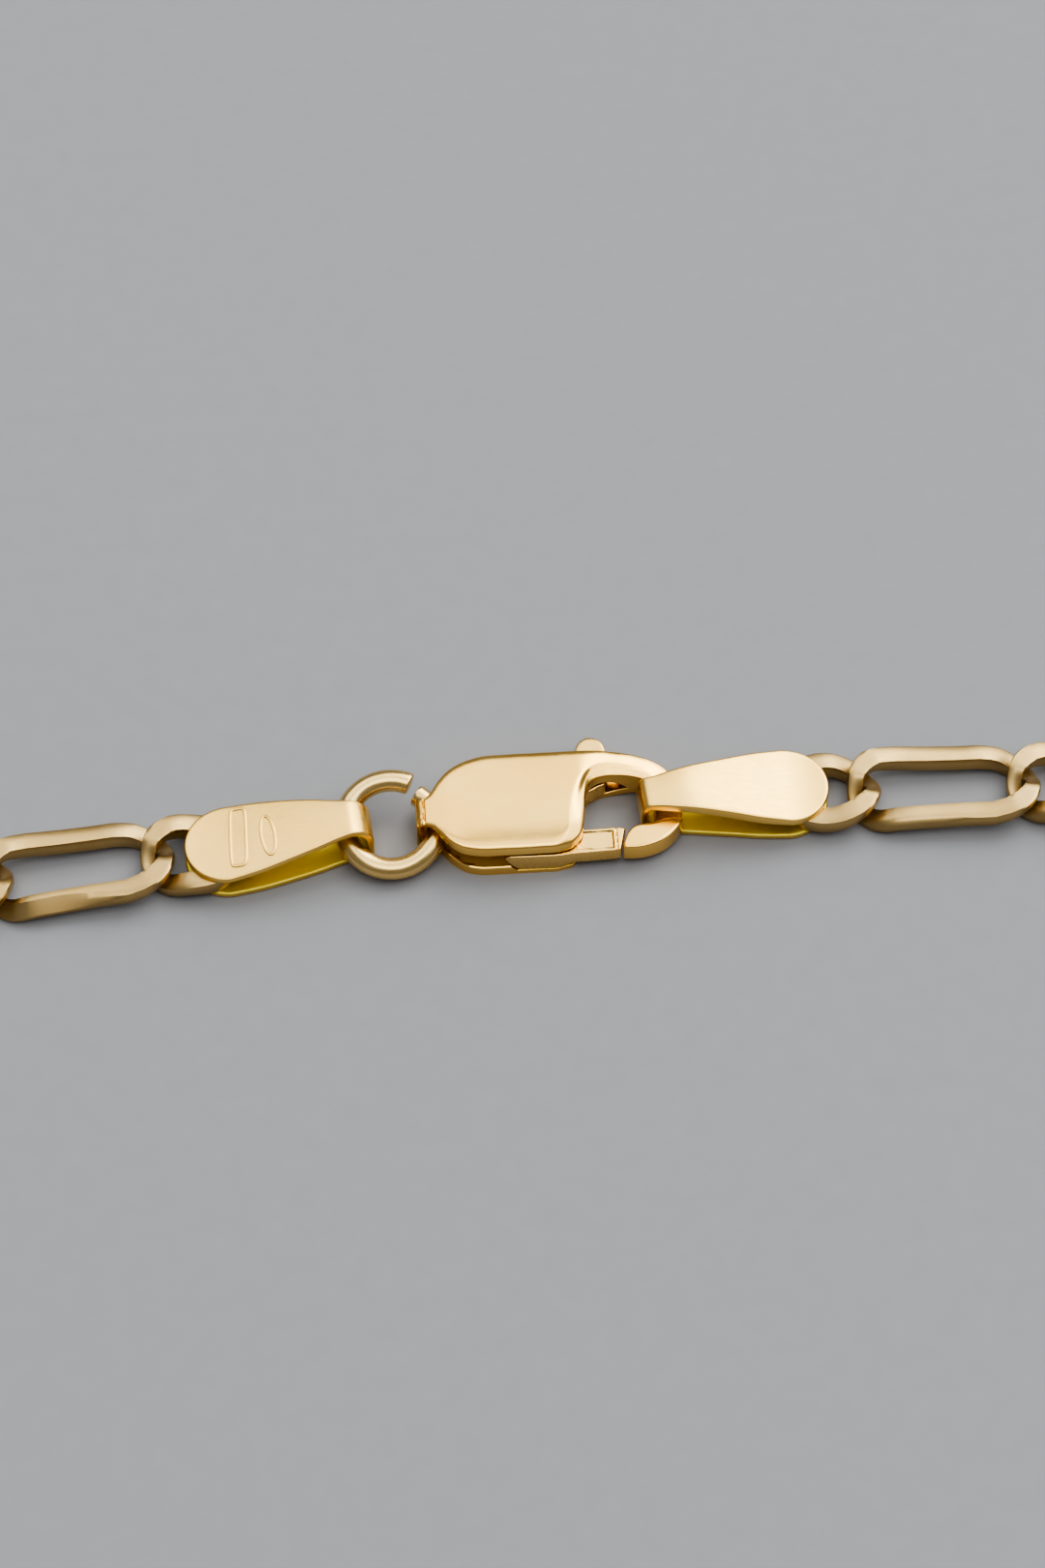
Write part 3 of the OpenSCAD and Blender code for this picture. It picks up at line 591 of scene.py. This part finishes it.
# Stations of the beak from its point back to the gate, as above
BEAK = [
    (6.49, -1.03, 6.43, -0.95, 1.32, 0.01, 0.05, 0.43, 0.0),
    (6.33, -1.33, 6.08, -0.94, 1.35, 0.02, 0.12, 0.43, 0.0),
    (6.07, -1.66, 5.65, -1.0, 1.36, 0.03, 0.16, 0.43, 0.0),
    (5.7, -1.98, 5.24, -1.12, 1.37, 0.03, 0.17, 0.43, 0.0),
    (5.25, -2.2, 4.8, -1.18, 1.37, 0.03, 0.17, 0.43, 0.0),
    (4.75, -2.33, 4.4, -1.28, 1.37, 0.03, 0.16, 0.43, 0.0),
    (4.35, -2.36, 4.17, -1.5, 1.36, 0.03, 0.13, 0.43, 0.0),
    (4.08, -2.35, 4.03, -1.75, 1.34, 0.02, 0.1, 0.43, 0.0),
    (3.89, -2.32, 3.9, -2.08, 1.31, 0.02, 0.06, 0.43, 0.0),
]


def in_clasp(body):
    """Moves a body from the clasp's own frame into the loop's."""
    points, faces = body
    return moved(points, CLASP_AT), faces


def slab(table, columns=27, steps=7, lip=0.0):
    """A slab between two edge lines in plan. Its crown falls off with the square of y, most to the
    near side, then towards the outline as a parabola over the edge radius and as a small quarter
    circle. Its underside follows the top at the sheet's thickness where it is hollow, and a lip may
    stand up along its outline."""
    rows = through(table, steps, False)
    v = np.sin(np.linspace(-1, 1, columns) * np.pi / 2)[None, :, None]
    plan = rows[:, None, 0:2] * (1 + v) / 2 + rows[:, None, 2:4] * (1 - v) / 2
    outline = np.vstack([plan[0], plan[:, -1], plan[-1, ::-1], plan[::-1, 0]])
    crown, fall, radius, bottom, hollow = (rows[:, k, None] for k in range(4, 9))
    gap = to_edge(plan, outline)
    v, near = v[..., 0], np.clip(-plan[..., 1] / HALF_W, -1, 1)
    over = crown - fall * near**2 * np.where(near > 0, 1, FAR_FALL)
    if lip:
        over = over + lip * np.clip(rows[:, 9, None], 0, 1) * np.clip(1.5 - gap / LIP_W, 0, 1)
    radius = radius + (np.minimum(radius, FAR_EDGE_R) - radius) * np.clip(2 * v + 0.5, 0, 1)
    small = np.minimum(radius, ROUND_R)
    edge = ROUND_SHARE * rolled(gap / small, 1.0) * small
    top = over - edge - EDGE_FALL * radius * (1 - np.clip(gap / radius, 0, 1)) ** 2
    low = np.clip(bottom, np.min(table, 0)[7], np.max(table, 0)[7])
    inside = np.clip(gap / HOLLOW_IN - 1.5, 0, 1) * np.clip(hollow, 0, 1)
    low = low + np.maximum(top - WALL_T - low, 0) * inside
    return skin(np.dstack([plan, top]), np.dstack([plan, np.minimum(low, top - LEAST_T)]))


# The wall's points for each of the shell's stations, its first and last station, how far it stands
# in from the outline, its foot, and the least and greatest height of the shell's rim over it and
# how far it runs up into that
WALL_STEPS, WALL_FROM, WALL_TO = 21, 3, 16
WALL_IN, WALL_LOW, RIM_Z, WALL_UP = 0.02, 0.1, (1.25, 1.5), 0.08
KNOB_SLOT, SLOT_TOP = (-0.15, 3.65), 1.23  # where along the clasp the slot is, and its height


def shell_wall():
    """Upright far wall below the shell's rim, from the neck to the claw, with a step up over the
    slot of the lever's knob: the outline of the shell carried straight up."""
    rows = through(SHELL_AND_CLAW, WALL_STEPS, False)[WALL_FROM * WALL_STEPS:WALL_TO * WALL_STEPS]
    line = rows[:, :2]
    ahead = np.gradient(line, axis=0)
    inward = np.column_stack([ahead[:, 1], -ahead[:, 0]]) / np.linalg.norm(ahead, axis=1)[:, None]
    outer = line + WALL_IN * inward
    slot = ((line[:, 0] > KNOB_SLOT[0]) & (line[:, 0] < KNOB_SLOT[1]))[:, None]
    low, high = np.where(slot, SLOT_TOP, WALL_LOW), np.clip(rows[:, 7:8], *RIM_Z) + WALL_UP
    z = low + (high - low) * np.linspace(0, 1, 4)
    outer = outer[:, None] + 0 * z[..., None]
    inner = (line + inward * WALL_T)[:, None] + 0 * z[..., None]
    return skin(np.dstack([outer, z]), np.dstack([inner, z]))


# The tray's stations follow the shell's with a lip along its outline, and run up into the claw
TRAY = [(-4.4, 0.1, -4.4, -0.98, TRAY_T, 0, 0.06, 0, 0, 0),
        (-3.95, 0.95, -3.95, -1.2, TRAY_T, 0, 0.06, 0, 0, 0.6),
        (-3.5, 1.45, -3.48, -1.78, TRAY_T, 0, 0.06, 0, 0, 1),
        (-3.0, 1.85, -2.98, -2.22, TRAY_T, 0, 0.06, 0, 0, 1),
        (-2.1, 2.22, -2.25, -2.49, TRAY_T, 0, 0.06, 0, 0, 1),
        (-1.3, 2.29, -1.4, -2.52, TRAY_T, 0, 0.06, 0, 0, 1),
        (-0.9, 2.31, -0.95, -2.52, TRAY_T, 0, 0.06, 0, 0, 1),
        (-0.6, 2.31, -0.6, -2.52, TRAY_T, 0, 0.06, 0, 0, 0),
        (-0.2, 2.31, -0.2, -2.52, TRAY_T, 0, 0.06, 0, 0, 0),
        (0.5, 2.31, 0.5, -2.52, TRAY_T, 0, 0.06, 0, 0, 0),
        (1.2, 2.31, 1.25, -2.48, TRAY_T, 0, 0.06, 0, 0, 0),
        (1.6, 2.31, 1.9, -2.15, TRAY_T, 0, 0.06, 0, 0, 0),
        (2.0, 2.31, 2.1, -1.4, TRAY_T, 0, 0.06, 0, 0, 0),
        (2.4, 2.31, 2.2, -0.2, TRAY_T, 0, 0.06, 0, 0, 0),
        (2.8, 2.31, 2.4, 0.55, TRAY_T, 0, 0.06, 0, 0, 0),
        (3.2, 2.31, 2.9, 0.98, 0.26, 0, 0.06, 0, 0, 0),
        (3.7, 2.3, 3.5, 1.12, 0.34, 0, 0.06, 0.05, 0, 0),
        (4.2, 2.26, 4.1, 1.16, 0.48, 0, 0.06, 0.14, 0, 0),
        (4.75, 2.2, 4.65, 1.1, 0.62, 0, 0.06, 0.3, 0, 0),
        (5.1, 2.08, 4.95, 0.98, 0.7, 0, 0.06, 0.4, 0, 0)]
TRAY_LIP = 0.3
# The neck's middle above the table, half its sheet's thickness and the rounding of its edges, half
# its width and how much that grows at the shell, and its place across the clasp
NECK_MID, NECK_HALF_T, NECK_EDGE = 0.11, 0.1, 0.05
NECK_HALF_W, NECK_FLARE, NECK_Y = 0.6, 0.07, -0.42


def neck():
    """The tongue of the tray, bent up round the jump ring as far as the shell, where it is soldered
    with a wavy seam: two sines added to the length."""
    side = np.vstack([[(-3.9, NECK_MID)], arc((-4.44, 0.41), 0.3, 270, 180, 10),
                      arc((-4.54, 1.68), 0.2, 180, 100, 12), [(-4.5, 1.91), (-4.43, 1.945)]])
    whole = np.linalg.norm(np.diff(side, axis=0), axis=1).sum()
    along = np.linspace(0, whole, 60)[:, None]
    v = np.sin(np.linspace(-1, 1, 15) * np.pi / 2)[None]
    half = NECK_HALF_W + NECK_FLARE * np.clip((along - 1.9) / 0.5, 0, 1)
    across = half * v
    seam = 0.035 * np.sin(7 * v + 1) + 0.02 * np.sin(17 * v) - 0.06
    plan = np.stack([along + seam * np.clip(along / whole * 4 - 3, 0, 1), across], -1)
    outline = np.vstack([plan[:, -1], plan[-1, ::-1], plan[::-1, 0]])
    thick = NECK_HALF_T - rolled(to_edge(plan, outline), NECK_EDGE)
    points, faces = skin(bent(side, plan[..., 0], across, thick),
                         bent(side, plan[..., 0], across, -thick))
    return points + [0, NECK_Y, 0], faces


clasp_gold = gold("polished_clasp_gold", (0.95, 0.635, 0.225), 0.2, 5000, 0.000001)
# Rough gold whose brighter, yellower colour is painted light from reflections inside the hollow
hollow_gold_painted_light = gold("dull_hollow_gold_painted_light", (1.0, 0.76, 0.22), 0.6, 4000, 0.00001)
shell = put("clasp_shell_and_claw", *in_clasp(slab(SHELL_AND_CLAW, columns=33)), clasp_gold,
            "necklace", ["clasp_body"])
tray = put("clasp_tray", *in_clasp(slab(TRAY, lip=TRAY_LIP)), clasp_gold, "necklace",
           ["clasp_body"])
put("clasp_beak", *in_clasp(slab(BEAK)), clasp_gold, "necklace", ["clasp_body"])
# The two sheets are left rough where they face each other, and take a brighter, yellower gold there
# that is painted light in the hollow: between two heights in mm, and down or up
for sheet, low, high, facing in ((shell, 1.3, 1.9, -1), (tray, 0.2, 0.26, 1)):
    sheet.data.materials.append(hollow_gold_painted_light)
    flat = np.zeros((len(sheet.data.polygons), 3))
    middle = flat.copy()
    sheet.data.polygons.foreach_get("normal", flat.ravel())
    sheet.data.polygons.foreach_get("center", middle.ravel())
    # Faces that take the rough gold with painted light
    dull = (flat[:, 2] * facing > 0.9) & (middle[:, 2] > low / 1000) & (middle[:, 2] < high / 1000)
    sheet.data.polygons.foreach_set("material_index", dull.astype(np.int32))
put("clasp_wall", *in_clasp(shell_wall()), clasp_gold, "necklace", ["clasp_body"])
put("clasp_neck", *in_clasp(neck()), clasp_gold, "necklace", ["clasp_body"])


# Lever
# A cast gold lever that turns on a rivet inside the shell: its gate closes the mouth, and its arm
# ends in the thumb knob that stands out of the far side. A hidden spring holds it shut.
# Stations along the gate: inner side, outer side, top, fall, edge radius, bottom, and no hollow
GATE = [
    (-1.12, -1.75, -1.14, -2.42, 1.1, 0.02, 0.05, 0.98, 0),
    (-0.95, -1.6, -0.97, -2.45, 1.17, 0.02, 0.06, 0.72, 0),
    (-0.7, -1.45, -0.72, -2.47, 1.18, 0.02, 0.07, 0.4, 0),
    (-0.2, -1.25, -0.2, -2.48, 1.18, 0.02, 0.07, 0.28, 0),
    (0.6, -1.25, 0.6, -2.49, 1.18, 0.02, 0.07, 0.28, 0),
    (1.25, -1.25, 1.25, -2.48, 1.18, 0.02, 0.07, 0.28, 0),
    (1.6, -1.25, 1.6, -2.44, 1.18, 0.02, 0.07, 0.46, 0),
    (2.4, -1.22, 2.4, -2.41, 1.18, 0.01, 0.07, 0.5, 0),
    (3.2, -1.2, 3.1, -2.38, 1.18, 0.01, 0.07, 0.5, 0),
    (3.75, -1.2, 3.6, -2.36, 1.18, 0.01, 0.07, 0.5, 0),
    (4.02, -1.27, 3.76, -2.33, 1.17, 0.01, 0.07, 0.5, 0),
]
# Stations along the arm from the hub to the knob's tip: left side, right side, and as above
ARM = [
    (-0.55, -1.5, 0.6, -1.7, 1.12, 0.02, 0.1, 0.3, 0),
    (-0.5, -0.6, 1.1, -1.1, 1.14, 0.02, 0.1, 0.3, 0),
    (0.1, 0.5, 1.95, 0.3, 1.14, 0.02, 0.1, 0.3, 0),
    (1.0, 1.45, 2.95, 0.86, 1.14, 0.02, 0.1, 0.36, 0),
    (2.02, 1.85, 3.42, 1.42, 1.14, 0.02, 0.1, 0.42, 0),
    (2.16, 2.3, 3.47, 2.3, 1.16, 0.03, 0.12, 0.42, 0),
    (2.15, 2.75, 3.48, 2.75, 1.18, 0.05, 0.15, 0.4, 0),
    (2.26, 3.15, 3.38, 3.15, 1.18, 0.06, 0.16, 0.38, 0),
    (2.5, 3.42, 3.14, 3.42, 1.17, 0.06, 0.16, 0.38, 0),
    (2.72, 3.52, 2.9, 3.52, 1.15, 0.05, 0.14, 0.4, 0),
]
PANEL = (1.9, 3.5, -2.24, -1.34)  # the framed place on the gate's top, left bare: x and y from, to
PANEL_DEPTH, PANEL_SLOPE = 0.075, 0.05
# The groove beside it: how far past the panel, its depth and its half width
GROOVE_AT, GROOVE_DEPTH, GROOVE_HALF_W = 0.13, 0.05, 0.05
GATE_TOP_FROM = 1.0              # points above this lie on the gate's top


def gate():
    """The gate's slab, with a sunk rectangular place in its top and a groove beside it."""
    points, faces = slab(GATE, columns=41, steps=14)
    x, y, z = points.T
    low_x, high_x, low_y, high_y = PANEL
    inside = np.minimum.reduce([x - low_x, high_x - x, y - low_y, high_y - y])
    sunk = PANEL_DEPTH * np.clip(inside / PANEL_SLOPE, 0, 1)
    groove = GROOVE_DEPTH * np.clip(1 - np.abs(x - high_x - GROOVE_AT) / GROOVE_HALF_W, 0, 1)
    z = z - np.where(z > GATE_TOP_FROM, np.maximum(sunk, groove), 0)
    return np.stack([x, y, z], -1), faces


lever_gold = gold("brushed_lever_gold", (0.84, 0.58, 0.24), 0.27, 8000, 0.000004)
put("lever_body", *in_clasp(joined(gate(), slab(ARM, steps=9))), lever_gold,
    "lever", ["clasp_lever"])
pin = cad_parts["lever_pin"]
pin.data.materials.clear()
pin.data.materials.append(clasp_gold)


# Table, light and camera
# The necklace lies on a plain pale table under soft light boxes: a wide one behind it, one
# overhead, two to the right and a weak one in front.
TABLE_COLOUR = (0.31, 0.312, 0.34)
BOX_WHITE, BEHIND_WHITE = (0.99, 1.0, 0.94), (0.99, 1.0, 0.93)
VIEW_UP, VIEW_ROUND, VIEW_FAR = 56.0, -6.5, 0.1875  # the camera's angles, and distance in metres
AIM = (0.00071, 0.0426, 0.0)     # what the camera and the light boxes point at, in metres
LENS, SENSOR = 100, 36           # in mm

bpy.ops.mesh.primitive_plane_add(size=1.6)
table = bpy.context.object
table.name = "table"
table_finish = bpy.data.materials.new("pale_table")
table_finish.use_nodes = True
nodes, wire = table_finish.node_tree.nodes, table_finish.node_tree.links.new
speckle = nodes.new("ShaderNodeTexNoise")
speckle.inputs["Scale"].default_value = 900
wire(nodes.new("ShaderNodeTexCoord").outputs["Object"], speckle.inputs["Vector"])
shade = nodes.new("ShaderNodeValToRGB")
shade.color_ramp.elements[0].color = (*[c * 0.97 for c in TABLE_COLOUR], 1)
shade.color_ramp.elements[1].color = (*[c * 1.03 for c in TABLE_COLOUR], 1)
wire(speckle.outputs["Fac"], shade.inputs["Fac"])
wire(shade.outputs["Color"], nodes["Principled BSDF"].inputs["Base Color"])
nodes["Principled BSDF"].inputs["Roughness"].default_value = 0.85
table.data.materials.append(table_finish)


def soft_light(name, place, width, height, watts, colour):
    """A soft light box that faces the clasp, with its place and size in metres."""
    lamp = bpy.data.lights.new(name, "AREA")
    lamp.shape, lamp.size, lamp.size_y = "RECTANGLE", width, height
    lamp.energy, lamp.color = watts, colour
    made = bpy.data.objects.new(name, lamp)
    made.location = place
    toward = np.array(AIM) - np.array(place)
    made.rotation_euler = Vector(toward).to_track_quat("-Z", "Y").to_euler()
    bpy.context.collection.objects.link(made)


soft_light("behind", (-0.02, 0.5, 0.8), 1.2, 0.6, 3.3, BEHIND_WHITE)
soft_light("overhead", (-0.02, -0.12, 0.8), 0.55, 0.55, 1.3, BOX_WHITE)
soft_light("above_right", (0.5, 0.08, 0.8), 0.85, 0.65, 2.9, BOX_WHITE)
soft_light("right", (0.534, 0.595, 0.558), 0.65, 0.65, 3.4, BOX_WHITE)
soft_light("front", (-0.05, -0.4, 0.8), 0.5, 0.4, 0.8, BOX_WHITE)

world = bpy.data.worlds.new("studio")
world.use_nodes = True
world.node_tree.nodes["Background"].inputs["Color"].default_value = (0.9, 0.92, 0.95, 1)
world.node_tree.nodes["Background"].inputs["Strength"].default_value = 0.25
bpy.context.scene.world = world
bpy.context.scene.view_settings.view_transform = "AgX"
bpy.context.scene.view_settings.look = "AgX - High Contrast"

up, around = radians(VIEW_UP), radians(VIEW_ROUND)
look = np.array([-np.sin(around) * np.cos(up), np.cos(around) * np.cos(up), -np.sin(up)])
camera_data = bpy.data.cameras.new("camera")
camera_data.lens, camera_data.sensor_width = LENS, SENSOR
camera_data.clip_start, camera_data.clip_end = 0.01, 10
camera = bpy.data.objects.new("camera", camera_data)
camera.location = np.array(AIM) - look * VIEW_FAR
camera.rotation_euler = Vector(look).to_track_quat("-Z", "Y").to_euler()
bpy.context.collection.objects.link(camera)
bpy.context.scene.camera = camera
